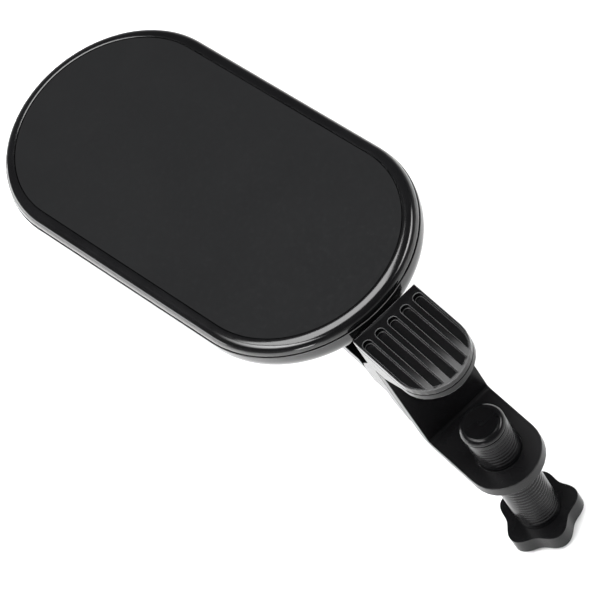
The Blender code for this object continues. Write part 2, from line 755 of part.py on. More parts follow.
def make_knob(parts, cutters, screw):
    high = place_z(KNOB_TOP_DEPTH)
    low = high - KNOB_THICK
    knob = finish_piece(plan_plate("hand_knob", knob_outline(), low, high, parts), "screw_black", screw)
    floor = high - 0.0034
    bore = cylinder("knob_bore", KNOB_BORE, floor - GAP, high + 0.001, cutters, steps=32)
    combine(knob, bore, "DIFFERENCE")
    through = cylinder("knob_through", KNOB_SCREW_RADIUS + GAP, low - 0.001, high, cutters, steps=20)
    combine(knob, through, "DIFFERENCE")
    recess = cylinder("knob_recess", KNOB_CAP_RADIUS + GAP, low - 0.001, low + KNOB_CAP_THICK + GAP, cutters, steps=32)
    combine(knob, recess, "DIFFERENCE")


def make_knob_screw(parts, screw):
    high = place_z(KNOB_TOP_DEPTH)
    seat = high - KNOB_THICK + KNOB_CAP_THICK + GAP
    head_high = seat - GAP
    profile = [
        (0.0, high + 0.0050),
        (KNOB_SCREW_RADIUS, high + 0.0046),
        (KNOB_SCREW_RADIUS, seat - GAP),
        (KNOB_SCREW_HEAD, head_high),
        (KNOB_SCREW_HEAD, head_high - 0.0004),
        (0.0, head_high - 0.0004),
    ]
    finish_piece(lathe("knob_screw", profile, parts, steps=20), "zinc_steel", screw)


def make_knob_cap(parts, screw):
    low = place_z(KNOB_TOP_DEPTH) - KNOB_THICK
    high = low + 0.0002
    profile = [
        (0.0, high),
        (KNOB_CAP_RADIUS, high),
        (KNOB_CAP_RADIUS, low - 0.0004),
        (KNOB_CAP_RADIUS - 0.0006, low - 0.0010),
        (0.0, low - 0.0010),
    ]
    finish_piece(lathe("knob_cap", profile, parts, steps=32), "satin_black", screw)


def main():
    clear_scene()
    parts = collection("handlebar_mirror")
    cutters = collection("cutters")
    clamp = empty("clamp_frame", parts, (0.0, 0.0, 0.0))
    ball = empty("ball_frame", parts, (SWIVEL_X, 0.0, BALL_Z))
    head = empty("head_frame", parts, (SWIVEL_X, 0.0, BALL_Z), HEAD_TURN)
    screw = empty("screw_frame", parts, (0.0, 0.0, 0.0))
    make_glass(parts, head)
    make_backing(parts, head)
    make_bezel(parts, cutters, head)
    make_housing(parts, cutters, head)
    make_housing_screws(parts, head)
    cup("upper_cup", 0, 70, parts, ball)
    cup("lower_cup", 104, 132, parts, ball)
    make_retainer(parts, cutters, head)
    make_retainer_screws(parts, head)
    make_ball_stud(parts, ball)
    make_washers(parts, ball)
    make_lock_nut(parts, cutters, ball)
    make_upper_jaw(parts, cutters, clamp)
    make_jaw_pad(parts, cutters, clamp)
    make_liner(parts, clamp)
    make_strap(parts, cutters, clamp)
    make_strap_screws(parts, clamp)
    make_foot(parts, screw)
    make_screw(parts, screw)
    make_knob(parts, cutters, screw)
    make_knob_screw(parts, screw)
    make_knob_cap(parts, screw)


main()
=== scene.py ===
"""Looks of the clip-on handlebar mirror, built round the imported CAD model.

Metres, in the CAD's frame. Every place comes from the CAD's own boxes, joints and meshes.
"""

import json
import math

import bmesh
import bpy
from mathutils import Matrix, Vector


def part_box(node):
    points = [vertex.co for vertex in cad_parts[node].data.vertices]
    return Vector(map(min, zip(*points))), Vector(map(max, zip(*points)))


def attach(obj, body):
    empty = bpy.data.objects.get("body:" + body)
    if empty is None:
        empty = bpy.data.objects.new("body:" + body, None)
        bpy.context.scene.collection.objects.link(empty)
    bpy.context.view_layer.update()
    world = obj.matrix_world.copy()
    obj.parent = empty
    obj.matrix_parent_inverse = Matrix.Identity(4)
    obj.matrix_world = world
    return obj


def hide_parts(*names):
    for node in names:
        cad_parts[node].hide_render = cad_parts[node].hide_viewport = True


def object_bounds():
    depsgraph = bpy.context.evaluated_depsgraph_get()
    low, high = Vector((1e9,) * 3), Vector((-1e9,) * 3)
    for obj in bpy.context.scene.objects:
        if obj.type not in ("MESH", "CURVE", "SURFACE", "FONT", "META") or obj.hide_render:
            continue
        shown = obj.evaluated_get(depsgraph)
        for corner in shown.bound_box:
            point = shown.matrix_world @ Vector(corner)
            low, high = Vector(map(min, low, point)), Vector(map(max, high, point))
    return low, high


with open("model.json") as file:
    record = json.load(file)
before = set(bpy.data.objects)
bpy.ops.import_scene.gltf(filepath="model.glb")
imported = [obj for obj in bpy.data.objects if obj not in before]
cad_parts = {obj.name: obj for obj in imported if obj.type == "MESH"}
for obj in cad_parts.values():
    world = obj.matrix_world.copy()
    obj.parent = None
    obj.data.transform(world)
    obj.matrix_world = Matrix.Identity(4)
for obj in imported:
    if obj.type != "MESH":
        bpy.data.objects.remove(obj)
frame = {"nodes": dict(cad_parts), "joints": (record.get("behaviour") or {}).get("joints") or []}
CAD_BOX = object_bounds()

MM = 0.001

# ---------------------------------------------------------------- places read from the CAD
GLASS_LOW, GLASS_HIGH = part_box("mirror_glass")
GLASS_TOP = GLASS_HIGH.z
SWIVEL = Vector(next(j["pos_m"] for j in frame["joints"] if j["name"] == "head_swivel"))
GLASS_CENTRE = (GLASS_LOW + GLASS_HIGH) / 2
TO_GLASS = Vector((GLASS_CENTRE.x - SWIVEL.x, GLASS_CENTRE.y - SWIVEL.y))
HEAD_TURN = math.atan2(-TO_GLASS.y, -TO_GLASS.x)
GLASS_SIZE = GLASS_HIGH - GLASS_LOW
HEAD_STRAIGHT = (GLASS_SIZE.x - GLASS_SIZE.y) / (math.cos(HEAD_TURN) - math.sin(HEAD_TURN))
GLASS_RADIUS = (GLASS_SIZE.x - HEAD_STRAIGHT * math.cos(HEAD_TURN)) / 2
NEAR_END = -TO_GLASS.length + HEAD_STRAIGHT / 2
HEAD_PLACE = Matrix.Translation((SWIVEL.x, SWIVEL.y, GLASS_TOP)) @ Matrix.Rotation(HEAD_TURN, 4, "Z")
BALL_DEPTH = GLASS_TOP - SWIVEL.z
BEZEL_RADIUS = (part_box("bezel")[1].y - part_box("bezel")[0].y - HEAD_STRAIGHT * math.sin(HEAD_TURN)) / 2
HOUSING_RADIUS = BEZEL_RADIUS + 0.3 * MM
BOSS_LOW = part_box("rear_housing")[0].z - GLASS_TOP

# ---------------------------------------------------------------- finer shape than the CAD has
SHARP_ANGLE = math.radians(32.0)
END_STEPS = 72
MERGE = 0.001 * MM
GAP = 0.3 * MM
OVERLAP = 1.0 * MM
GLASS_THICK = 2.0 * MM

# The frame round the glass: heights over the glass, depths under it, and radii of the head's ends.
LIP_CREST_RADIUS = GLASS_RADIUS + 0.7 * MM
LIP_CREST = 0.2 * MM
LIP_INNER = 0.1 * MM
LIP_NOSE = 0.04 * MM
SHOULDER_STEPS = 24
LIP_TILT = 24.0
LIP_SHARE = 0.4
PARTING = 3.1 * MM
PARTING_ROUND = 0.25 * MM
FRAME_SEAT = 3.2 * MM
FRAME_BACK = 4.6 * MM
SKIRT_OUTER = 36.3 * MM
SKIRT_INNER = 35.1 * MM
SKIRT_BACK = 5.1 * MM

# The rear housing: depths under the glass, and radii.
HOUSING_TOP = 3.4 * MM
HOUSING_BACK = 12.1 * MM
HOUSING_ROUND = 7.0 * MM
HOUSING_DOME = 1.0 * MM
HOUSING_WALL = 1.6 * MM
BOSS_RADIUS = 13.0 * MM
BOSS_FLARE = 2.5 * MM
BOSS_TOP = BALL_DEPTH - 10.0 * MM
BOSS_JOIN = HOUSING_BACK + 0.75 * MM
BOSS_EDGE = 0.6 * MM
CAVITY_RADIUS = 9.1 * MM
WELL_SEAT = 0.9 * MM
WELL_ROOM = 0.35 * MM
WELL_TAPER = 0.25 * MM
WELL_DEPTH = 3.0 * MM

# The clamp: its strap, and the grooves and bend of its ribbed plate.
STRAP_THICK = 3.8 * MM
COLLAR_ROOM = 0.02 * MM
COLLAR_WIDE = 1.5 * MM
COLLAR_INSET = 0.55 * MM
COLLAR_CONE = 0.3 * MM
GROOVE_DEPTH = 1.8 * MM
GROOVE_PITCH = 4.9 * MM
GROOVE_WIDTH = 2.9 * MM
GROOVE_RIM = 1.2 * MM
GROOVE_STEPS = 8
CROWN_START = 0.48
CROWN_DROP = 0.82 * MM
CROWN_STEPS = 24

# The clamping screw and its foot.
THREAD_PITCH = 1.5 * MM
THREAD_HEIGHT = 0.2 * MM
THREAD_COLUMNS = 96
THREAD_ROWS = 10
THREAD_CLEAR = 0.04 * MM
THREAD_RUN_OUT = 1.4 * THREAD_PITCH
THREAD_SHARPNESS = 1.8
FLAT_START = 0.62
FLAT_BLEND = 0.26
SPIGOT_RADIUS = 3.1 * MM
SPIGOT_EDGE = 0.3 * MM
TAIL_RADIUS = 4.5 * MM
TAIL_EDGE = 0.2 * MM
TAIL_BORE = 1.8 * MM
TAIL_BORE_DEPTH = 10.0 * MM
FOOT_FACE = 0.35 * MM
FOOT_ROUND = 1.9 * MM
FOOT_DOT = 1.0 * MM
FOOT_EDGE = 0.25 * MM
FOOT_SOCKET = 3.4 * MM
FOOT_SOCKET_DEPTH = 1.3 * MM
NICK_RADIUS = 0.42 * MM

# ---------------------------------------------------------------- camera and light
CAMERA_PLACE = Vector((0.70155, -0.13543, 0.85579))
CAMERA_AIM = Vector((0.00424, -0.01375, 0.0))
CAMERA_ROLL = math.radians(-35.5)
CAMERA_LENS = 234.0
FLOOR_HALF = 3.0
FLOOR_GAP = 0.5 * MM

# How fine the mottling and the smears of every finish are, and how far the lighter edge colour reaches from
# an edge: rubbing on most finishes, and a painted highlight on the ribbed plate.
MOTTLE_SCALE = 55.0
SMEAR_SCALE = 420.0
RUB_AND_HIGHLIGHT_REACH = 0.35 * MM


# ---------------------------------------------------------------- node helpers
def add(tree, kind, **inputs):
    """A shader node with its sockets set by name, an underscore standing for a space."""
    node = tree.nodes.new(kind)
    for key, value in inputs.items():
        socket = node.inputs[key.replace("_", " ")]
        if isinstance(value, bpy.types.NodeSocket):
            tree.links.new(value, socket)
        else:
            socket.default_value = value
    return node


def noise(tree, where, scale, detail=3.0, rough=0.55):
    made = add(tree, "ShaderNodeTexNoise", Vector=where, Scale=scale, Detail=detail, Roughness=rough)
    return made.outputs["Fac"]


def spread(tree, value, low, high, to_low, to_high):
    """Maps a value from one range on to another, held to its ends."""
    node = add(tree, "ShaderNodeMapRange")
    node.clamp = True
    tree.links.new(value, node.inputs["Value"])
    node.inputs["From Min"].default_value = low
    node.inputs["From Max"].default_value = high
    node.inputs["To Min"].default_value = to_low
    node.inputs["To Max"].default_value = to_high
    return node.outputs["Result"]


def blend_colour(tree, share, first, second):
    """The first colour where the share is 0, and the second where it is 1."""
    node = tree.nodes.new("ShaderNodeMix")
    node.data_type = "RGBA"
    tree.links.new(share, node.inputs[0])
    for socket, value in ((node.inputs[6], first), (node.inputs[7], second)):
        if isinstance(value, bpy.types.NodeSocket):
            tree.links.new(value, socket)
        else:
            socket.default_value = (*value, 1.0)
    return node.outputs[2]


def times(tree, first, second):
    node = tree.nodes.new("ShaderNodeMath")
    node.operation = "MULTIPLY"
    tree.links.new(first, node.inputs[0])
    tree.links.new(second, node.inputs[1])
    return node.outputs[0]


def edge_share(tree, radius):
    """Near 1 on sharp outer edges and near 0 on flats."""
    soft = add(tree, "ShaderNodeBevel", Radius=radius)
    soft.samples = 4
    real = tree.nodes.new("ShaderNodeNewGeometry")
    dot = tree.nodes.new("ShaderNodeVectorMath")
    dot.operation = "DOT_PRODUCT"
    tree.links.new(soft.outputs["Normal"], dot.inputs[0])
    tree.links.new(real.outputs["Normal"], dot.inputs[1])
    return spread(tree, dot.outputs["Value"], 0.995, 0.93, 0.0, 1.0)


def surface(name, colour, rough, metallic=0.0, rough_spread=0.08, grain=5200.0, bump=0.05, edge_rub_and_highlight=0.25,
            rub_and_highlight_colour=(0.06, 0.06, 0.062), shine=0.5, patchy=(0.42, 0.66)):
    """A procedural finish: mottled colour, uneven gloss, fine grain, and lighter edges that stand for
    rubbing and also paint thin edge highlights.
    """
    made = bpy.data.materials.new(name)
    made.use_nodes = True
    tree = made.node_tree
    shader = tree.nodes["Principled BSDF"]
    place = tree.nodes.new("ShaderNodeTexCoord").outputs["Object"]
    broad = noise(tree, place, MOTTLE_SCALE)
    middle = noise(tree, place, SMEAR_SCALE, 5.0)
    fine = noise(tree, place, grain, 2.0)
    darker = tuple(0.8 * c for c in colour)
    lighter = tuple(1.22 * c for c in colour)
    mottled = blend_colour(tree, spread(tree, broad, 0.3, 0.7, 0.0, 1.0), darker, lighter)
    # Lighter colour on sharp edges, in patches: rubbing where the amount is small, painted highlight lines
    # where it is high, as on the ribbed plate.
    rubbed_and_highlit = times(tree, edge_share(tree, RUB_AND_HIGHLIGHT_REACH), spread(tree, middle, *patchy, 0.0, edge_rub_and_highlight))
    tree.links.new(blend_colour(tree, rubbed_and_highlit, mottled, rub_and_highlight_colour), shader.inputs["Base Color"])
    gloss = spread(tree, middle, 0.25, 0.75, max(rough - rough_spread, 0.02), rough + rough_spread)
    tree.links.new(gloss, shader.inputs["Roughness"])
    shader.inputs["Metallic"].default_value = metallic
    shader.inputs["Specular IOR Level"].default_value = shine
    relief = add(tree, "ShaderNodeBump", Strength=bump, Distance=0.1 * MM, Height=fine)
    ripple = add(tree, "ShaderNodeBump", Strength=bump * 0.6, Distance=0.4 * MM, Height=middle)
    tree.links.new(relief.outputs["Normal"], ripple.inputs["Normal"])
    tree.links.new(ripple.outputs["Normal"], shader.inputs["Normal"])
    return made


def mirror_finish():
    """Silvered glass with the faintest haze."""
    made = bpy.data.materials.new("silvered_glass")
    made.use_nodes = True
    tree = made.node_tree
    shader = tree.nodes["Principled BSDF"]
    where = tree.nodes.new("ShaderNodeTexCoord").outputs["Object"]
    haze = noise(tree, where, 38.0, 4.0)
    specks = noise(tree, where, 900.0, 2.0)
    share = spread(tree, haze, 0.35, 0.65, 0.0, 1.0)
    tint = blend_colour(tree, share, (0.40, 0.405, 0.41), (0.43, 0.435, 0.44))
    tree.links.new(tint, shader.inputs["Base Color"])
    tree.links.new(spread(tree, specks, 0.3, 0.8, 0.03, 0.09), shader.inputs["Roughness"])
    shader.inputs["Metallic"].default_value = 1.0
    return made


FINISHES = {
    "mirror_face": mirror_finish(),
    "foam": surface("closed_foam", (0.03, 0.03, 0.03), 0.9, bump=0.6, grain=1800.0, edge_rub_and_highlight=0.0),
    "gloss_black": surface("moulded_gloss", (0.004, 0.004, 0.0043), 0.13, rough_spread=0.03, bump=0.012,
                           edge_rub_and_highlight=0.05, shine=0.36),
    "jaw_black": surface("moulded_jaw", (0.003, 0.003, 0.0032), 0.17, rough_spread=0.03, bump=0.008,
                         edge_rub_and_highlight=0.1, shine=0.13),
    # The ribbed plate's edges go lighter grey almost all round: painted highlight lines along its rim and
    # grooves.
    "pad_black": surface("moulded_pad", (0.0022, 0.0022, 0.0024), 0.15, rough_spread=0.02, bump=0.006,
                         edge_rub_and_highlight=1.0, rub_and_highlight_colour=(0.1, 0.1, 0.102), shine=0.17, patchy=(0.1, 0.45)),
    "satin_black": surface("moulded_satin", (0.009, 0.009, 0.0095), 0.36, bump=0.1),
    "strap_black": surface("powder_coat", (0.004, 0.004, 0.0043), 0.25, rough_spread=0.015, bump=0.004,
                           grain=2600.0, edge_rub_and_highlight=0.35, rub_and_highlight_colour=(0.08, 0.08, 0.08), shine=0.12, patchy=(0.2, 0.6)),
    "rubber_black": surface("nitrile", (0.012, 0.012, 0.012), 0.72, bump=0.35, grain=3000.0, edge_rub_and_highlight=0.1),
    "screw_black": surface("moulded_screw", (0.004, 0.004, 0.0043), 0.19, rough_spread=0.03, bump=0.01,
                           edge_rub_and_highlight=0.08, shine=0.14),
    "nylon": surface("acetal", (0.52, 0.51, 0.47), 0.42, bump=0.06, edge_rub_and_highlight=0.3, rub_and_highlight_colour=(0.35, 0.34, 0.31)),
    "zinc_steel": surface("zinc_plate", (0.42, 0.42, 0.41), 0.28, metallic=1.0, rough_spread=0.1, bump=0.1,
                          grain=4200.0, edge_rub_and_highlight=0.3, rub_and_highlight_colour=(0.6, 0.6, 0.58)),
}


# ---------------------------------------------------------------- mesh helpers
def link(name, bm):
    """A scene object from a bmesh, smooth shaded but for edges over the sharp angle."""
    bmesh.ops.recalc_face_normals(bm, faces=bm.faces)
    if bm.calc_volume(signed=True) < 0:
        bmesh.ops.reverse_faces(bm, faces=bm.faces)
    mesh = bpy.data.meshes.new(name)
    bm.to_mesh(mesh)
    bm.free()
    made = bpy.data.objects.new(name, mesh)
    bpy.context.scene.collection.objects.link(made)
    mesh.shade_smooth()
    mesh.set_sharp_from_angle(angle=SHARP_ANGLE)
    return made


def bake(obj):
    """Applies an object's modifiers, so what is left is plain mesh."""
    bpy.context.view_layer.update()
    graph = bpy.context.evaluated_depsgraph_get()
    mesh = bpy.data.meshes.new_from_object(obj.evaluated_get(graph))
    old = obj.data
    obj.modifiers.clear()
    obj.data = mesh
    bpy.data.meshes.remove(old)
    mesh.shade_smooth()
    mesh.set_sharp_from_angle(angle=SHARP_ANGLE)
    return obj


def cut(obj, tools, operation="DIFFERENCE"):
    """Applies a boolean with each tool in turn, and deletes the tools."""
    for tool in tools:
        step = obj.modifiers.new("cut", "BOOLEAN")
        step.operation = operation
        step.solver = "EXACT"
        step.object = tool
        bake(obj)
        bpy.data.objects.remove(tool, do_unlink=True)
    return obj


def rounded(obj, width, segments=3, angle=34.0):
    """Rounds an object's sharp edges over, as moulding and finishing leave them."""
    step = obj.modifiers.new("round", "BEVEL")
    step.width = width
    step.segments = segments
    step.limit_method = "ANGLE"
    step.angle_limit = math.radians(angle)
    return bake(obj)


def merge_flats(bm, near):
    """Joins doubled points, and then the triangles that lie in one plane."""
    bmesh.ops.remove_doubles(bm, verts=bm.verts, dist=near)
    bmesh.ops.dissolve_limit(bm, angle_limit=math.radians(1.0), verts=bm.verts, edges=bm.edges)


def from_cad(node, name):
    """A copy of a CAD node's mesh with its triangles merged back into whole faces."""
    bm = bmesh.new()
    bm.from_mesh(frame["nodes"][node].data)
    merge_flats(bm, 0.002 * MM)
    return link(name, bm)


def skin(bm, rows, profile):
    """Joins each row of points to the next, and closes the profile if it leaves the axis free."""
    count = len(profile)
    spans = count if profile[0][0] > 0.0 else count - 1
    for first, second in zip(rows, rows[1:] + rows[:1]):
        for j in range(spans):
            k = (j + 1) % count
            bm.faces.new((first[j], first[k], second[k], second[j]))
    bmesh.ops.remove_doubles(bm, verts=bm.verts, dist=MERGE)
    bmesh.ops.dissolve_degenerate(bm, edges=bm.edges, dist=MERGE / 2)


def turned(name, profile, steps=64, place=None):
    """A solid of revolution about Z from (radius, height) points."""
    bm = bmesh.new()
    rows = []
    for i in range(steps):
        a = math.tau * i / steps
        rows.append([bm.verts.new((r * math.cos(a), r * math.sin(a), z)) for r, z in profile])
    skin(bm, rows, profile)
    if place:
        bm.transform(place)
    return link(name, bm)


def arc(centre, radius, start, end, steps):
    """Points along an arc in degrees, both ends included."""
    turns = [math.radians(start + (end - start) * i / steps) for i in range(steps + 1)]
    return [(centre[0] + radius * math.cos(a), centre[1] + radius * math.sin(a)) for a in turns]


def obround(name, profile):
    """Sweeps (radius, height) points round the mirror head's outline, in the head's own frame."""
    path = []
    for centre, start in ((NEAR_END, -90.0), (NEAR_END - HEAD_STRAIGHT, 90.0)):
        for i in range(END_STEPS + 1):
            a = math.radians(start + 180.0 * i / END_STEPS)
            path.append((centre, math.cos(a), math.sin(a)))
    bm = bmesh.new()
    rows = [[bm.verts.new((c + r * x, r * y, z)) for r, z in profile] for c, x, y in path]
    skin(bm, rows, profile)
    return link(name, bm)


def prism(name, outline, low, high):
    """A straight block over an (x, y) outline, from one height to another."""
    bm = bmesh.new()
    base = [bm.verts.new((x, y, low)) for x, y in outline]
    top = [bm.verts.new((x, y, high)) for x, y in outline]
    bm.faces.new(base)
    bm.faces.new(top)
    for k in range(len(outline)):
        n = (k + 1) % len(outline)
        bm.faces.new((base[k], base[n], top[n], top[k]))
    return link(name, bm)


def box_mesh(name, low, high, place):
    """A block between two corners, then placed."""
    bm = bmesh.new()
    bmesh.ops.create_cube(bm, size=1.0)
    low, high = Vector(low), Vector(high)
    bm.transform(Matrix.Translation((low + high) / 2) @ Matrix.Diagonal((*(high - low), 1.0)))
    bm.transform(place)
    return link(name, bm)


def finish(obj, slot, body, *nodes, look=None):
    """Gives a piece its finish, body and the CAD nodes it stands for, with flats that shade flat."""
    obj.modifiers.new("even", "WEIGHTED_NORMAL").keep_sharp = True
    bpy.context.view_layer.update()
    mesh = bpy.data.meshes.new_from_object(obj.evaluated_get(bpy.context.evaluated_depsgraph_get()))
    obj.modifiers.clear()
    obj.data = mesh
    obj.data.materials.clear()
    obj.data.materials.append(FINISHES[look or slot])
    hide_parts(*nodes)
    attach(obj, body)


def centre_of(node):
    low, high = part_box(node)
    return (low + high) / 2


# ---------------------------------------------------------------- mirror head
def make_glass():
    profile = [(0.0, 0.0), (GLASS_RADIUS, 0.0), (GLASS_RADIUS, -GLASS_THICK), (0.0, -GLASS_THICK)]
    glass = obround("glass_plate", profile)
    glass.data.transform(HEAD_PLACE)
    finish(glass, "mirror_face", "head", "mirror_glass")


def shoulder_curve():
    """The frame's shoulder, from the lip's crest to the parting line: gentle at first, then round."""
    reach = BEZEL_RADIUS - LIP_CREST_RADIUS
    drop = LIP_CREST + PARTING - PARTING_ROUND
    steps = []
    out = down = 0.0
    for i in range(SHOULDER_STEPS):
        share = (i + 0.5) / SHOULDER_STEPS
        if share < LIP_SHARE:
            tilt = LIP_TILT * share / LIP_SHARE
        else:
            tilt = LIP_TILT + (90.0 - LIP_TILT) * (share - LIP_SHARE) / (1.0 - LIP_SHARE)
        out += math.cos(math.radians(tilt))
        down += math.sin(math.radians(tilt))
        steps.append((out, down))
    return [(LIP_CREST_RADIUS + reach * x / out, LIP_CREST - drop * z / down) for x, z in steps]


def make_bezel():
    inner = GLASS_RADIUS + GAP
    nose = arc((inner + LIP_NOSE, LIP_INNER - LIP_NOSE), LIP_NOSE, 180, 97, 5)
    profile = [(0.0, -FRAME_SEAT), (inner, -FRAME_SEAT)] + nose
    profile += [(LIP_CREST_RADIUS, LIP_CREST)] + shoulder_curve()
    profile += [(BEZEL_RADIUS - 0.24 * PARTING_ROUND, 0.4 * PARTING_ROUND - PARTING),
                (BEZEL_RADIUS - PARTING_ROUND, -PARTING)]
    profile += [(SKIRT_OUTER, -PARTING), (SKIRT_OUTER, -SKIRT_BACK), (SKIRT_INNER, -SKIRT_BACK),
                (SKIRT_INNER, -FRAME_BACK), (0.0, -FRAME_BACK)]
    bezel = obround("bezel_ring", profile)
    bezel.data.transform(HEAD_PLACE)
    finish(bezel, "gloss_black", "head", "bezel")


def housing_curve(inset):
    """The rear housing's wall, from the rim round to the middle of its back."""
    radius = HOUSING_RADIUS - inset
    bend = HOUSING_ROUND - 0.6 * inset
    back = HOUSING_BACK - inset
    flat = radius - bend
    corner = arc((flat, bend - back), bend, 0, -90, 14)
    crown = [(flat * (1 - t), -back - HOUSING_DOME * (1 - (1 - t) ** 2)) for t in
             (i / 10 for i in range(1, 11))]
    return corner + crown


def make_boss():
    """The socket's boss, flared where it leaves the housing's back."""
    r = BOSS_RADIUS
    profile = [(0.0, -BOSS_TOP), (r, -BOSS_TOP), (r, OVERLAP - BOSS_JOIN),
               (r + BOSS_FLARE, 0.8 * OVERLAP - BOSS_JOIN)]
    profile += arc((r + BOSS_FLARE, -BOSS_JOIN - BOSS_FLARE), BOSS_FLARE, 90, 180, 8)
    profile += [(r, BOSS_LOW + BOSS_EDGE), (r - 0.3 * BOSS_EDGE, BOSS_LOW + 0.3 * BOSS_EDGE),
                (r - BOSS_EDGE, BOSS_LOW), (0.0, BOSS_LOW)]
    return turned("boss", profile, 96)


def make_housing():
    lip = PARTING_ROUND
    outer = [(HOUSING_RADIUS - lip, -HOUSING_TOP), (HOUSING_RADIUS - 0.3 * lip, -HOUSING_TOP - 0.3 * lip),
             (HOUSING_RADIUS, -HOUSING_TOP - lip)] + housing_curve(0.0)
    inner = [(HOUSING_RADIUS - HOUSING_WALL, -HOUSING_TOP)] + housing_curve(HOUSING_WALL)
    shell = obround("housing_shell", list(reversed(inner)) + outer)
    cut(shell, [make_boss()], "UNION")
    pocket = [(0.0, CAVITY_RADIUS - BALL_DEPTH)] + arc((0.0, -BALL_DEPTH), CAVITY_RADIUS, 84, 0, 14)
    pocket += [(CAVITY_RADIUS, BOSS_LOW - OVERLAP), (0.0, BOSS_LOW - OVERLAP)]
    tools = [turned("pocket", pocket, 64)]
    to_head = HEAD_PLACE.inverted()
    for i in range(1, 7):
        low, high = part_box(f"housing_screw_{i}")
        spot = to_head @ ((low + high) / 2)
        mouth = (high.x - low.x) / 2 + WELL_ROOM
        sink = (to_head @ low).z + WELL_SEAT
        well = [(0.0, sink + WELL_ROOM), (mouth, sink + WELL_ROOM), (mouth + WELL_TAPER, sink - WELL_DEPTH),
                (0.0, sink - WELL_DEPTH)]
        tools.append(turned("well", well, 32, Matrix.Translation((spot.x, spot.y, 0.0))))
    cut(shell, tools)
    shell.data.transform(HEAD_PLACE)
    finish(shell, "gloss_black", "head", "rear_housing")


# ---------------------------------------------------------------- screws
def cross_screw(name, head_radius, head_height, shank, length, pitch, place):
    """A pan-head screw with a cross recess and a coarse thread, made with its head's top facing +Z."""
    head = ((0.0, 1.0), (0.62, 1.0), (0.86, 0.86), (0.98, 0.55), (1.0, 0.12), (1.0, 0.0))
    profile = [(head_radius * r, head_height * z) for r, z in head] + [(shank, 0.0)]
    core = shank * 0.78
    z = -0.3 * pitch
    while z > -length + pitch:
        profile += [(shank, z), (core, z - 0.45 * pitch), (core, z - 0.6 * pitch), (shank, z - pitch)]
        z -= pitch
    profile += [(shank * 0.4, -length), (0.0, -length)]
    body = turned(name, profile, 32)
    bar = head_radius * 0.17
    reach = head_radius * 0.6
    arms = [box_mesh("arm", (-reach, -bar, head_height * 0.25), (reach, bar, head_height * 1.5),
                     Matrix.Rotation(turn, 4, "Z")) for turn in (0.0, math.pi / 2)]
    cut(body, arms)
    body.data.transform(place)
    return body


def upright_screw(node, name, body, head, shank, pitch, turn=0.0):
    """A screw driven up into a piece from below, its head at the bottom of its CAD node."""
    low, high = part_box(node)
    middle = (low + high) / 2
    flip = Matrix.Translation((middle.x, middle.y, low.z + head)) @ Matrix.Rotation(math.pi, 4, "X")
    spin = Matrix.Rotation(math.radians(turn), 4, "Z")
    length = high.z - low.z - head
    screw = cross_screw(name, (high.x - low.x) / 2, head, shank, length, pitch, flip @ spin)
    finish(screw, "zinc_steel", body, node)


def make_head_screws():
    for i in range(1, 7):
        upright_screw(f"housing_screw_{i}", f"case_screw_{i}", "head", 1.1 * MM, 1.1 * MM, 0.8 * MM,
                      37.0 * i)
    for i in range(1, 4):
        upright_screw(f"retainer_screw_{i}", f"ring_screw_{i}", "head", 0.8 * MM, 0.8 * MM, 0.6 * MM,
                      51.0 * i)


# ---------------------------------------------------------------- ball joint
def soften(node, name, slot, body, width, segments=2):
    """The CAD node's own shape with its edges rounded over."""
    finish(rounded(from_cad(node, name), width, segments), slot, body, node)


def make_joint():
    soften("socket_retainer", "socket_ring", "satin_black", "head", 0.18 * MM)
    soften("glass_backing", "backing_sheet", "foam", "head", 0.1 * MM)
    soften("upper_cup", "ball_seat_upper", "nylon", "upper_cup", 0.12 * MM)
    soften("lower_cup", "ball_seat_lower", "nylon", "lower_cup", 0.12 * MM)
    soften("ball_stud", "ball_pin", "zinc_steel", "clamp", 0.2 * MM, 3)
    soften("friction_washer", "wear_ring", "nylon", "clamp", 0.15 * MM)
    soften("flat_washer", "plain_ring", "zinc_steel", "clamp", 0.15 * MM)


def make_spring_washer():
    split = from_cad("spring_washer", "split_ring")
    middle = centre_of("spring_washer")
    slant = Matrix.Translation(middle) @ Matrix.Rotation(math.radians(28.0), 4, "X")
    gap = 0.25 * MM
    slot = box_mesh("slot", (1.0 * MM, -gap, -3.0 * MM), (9.0 * MM, gap, 3.0 * MM), slant)
    cut(split, [slot])
    finish(rounded(split, 0.1 * MM, 2), "zinc_steel", "clamp", "spring_washer")


def make_nut():
    """The hexagon nut, its corners turned away at both ends."""
    nut = from_cad("lock_nut", "hex_nut")
    low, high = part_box("lock_nut")
    middle = (low + high) / 2
    corners = max(high.x - low.x, high.y - low.y) / 2
    flats = corners * math.cos(math.pi / 6)
    rim = corners * 1.02
    tall = (high.z - low.z) / 2
    fall = 0.75 * MM
    cone = [(0.0, tall), (flats, tall), (rim, tall - fall), (rim, fall - tall), (flats, -tall), (0.0, -tall)]
    cut(nut, [turned("chamfer", cone, 64, Matrix.Translation(middle))], "INTERSECT")
    finish(rounded(nut, 0.12 * MM, 2, 24.0), "zinc_steel", "clamp", "lock_nut")


# ---------------------------------------------------------------- clamp
def groove_ends(pad):
    """Carries the grooves on to a thin rim, round the jaw's rounded tip."""
    low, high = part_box("jaw_pad")
    half = (high.y - low.y) / 2
    centre = high.x - half
    back = centre - 2.0 * MM
    for i in range(-2, 3):
        near = i * GROOVE_PITCH - GROOVE_WIDTH / 2
        far = near + GROOVE_WIDTH
        reach = half - GROOVE_RIM if abs(i) < 2 else max(abs(near), abs(far))
        outline = [(back, near)]
        for step in range(GROOVE_STEPS + 1):
            y = near + GROOVE_WIDTH * step / GROOVE_STEPS
            outline.append((centre + math.sqrt(max(0.0, reach ** 2 - y ** 2)), y))
        outline.append((back, far))
        cut(pad, [prism("groove", outline, high.z - GROOVE_DEPTH, high.z + MM)])
    bm = bmesh.new()
    bm.from_mesh(pad.data)
    merge_flats(bm, 0.004 * MM)
    bm.to_mesh(pad.data)
    bm.free()
    return pad


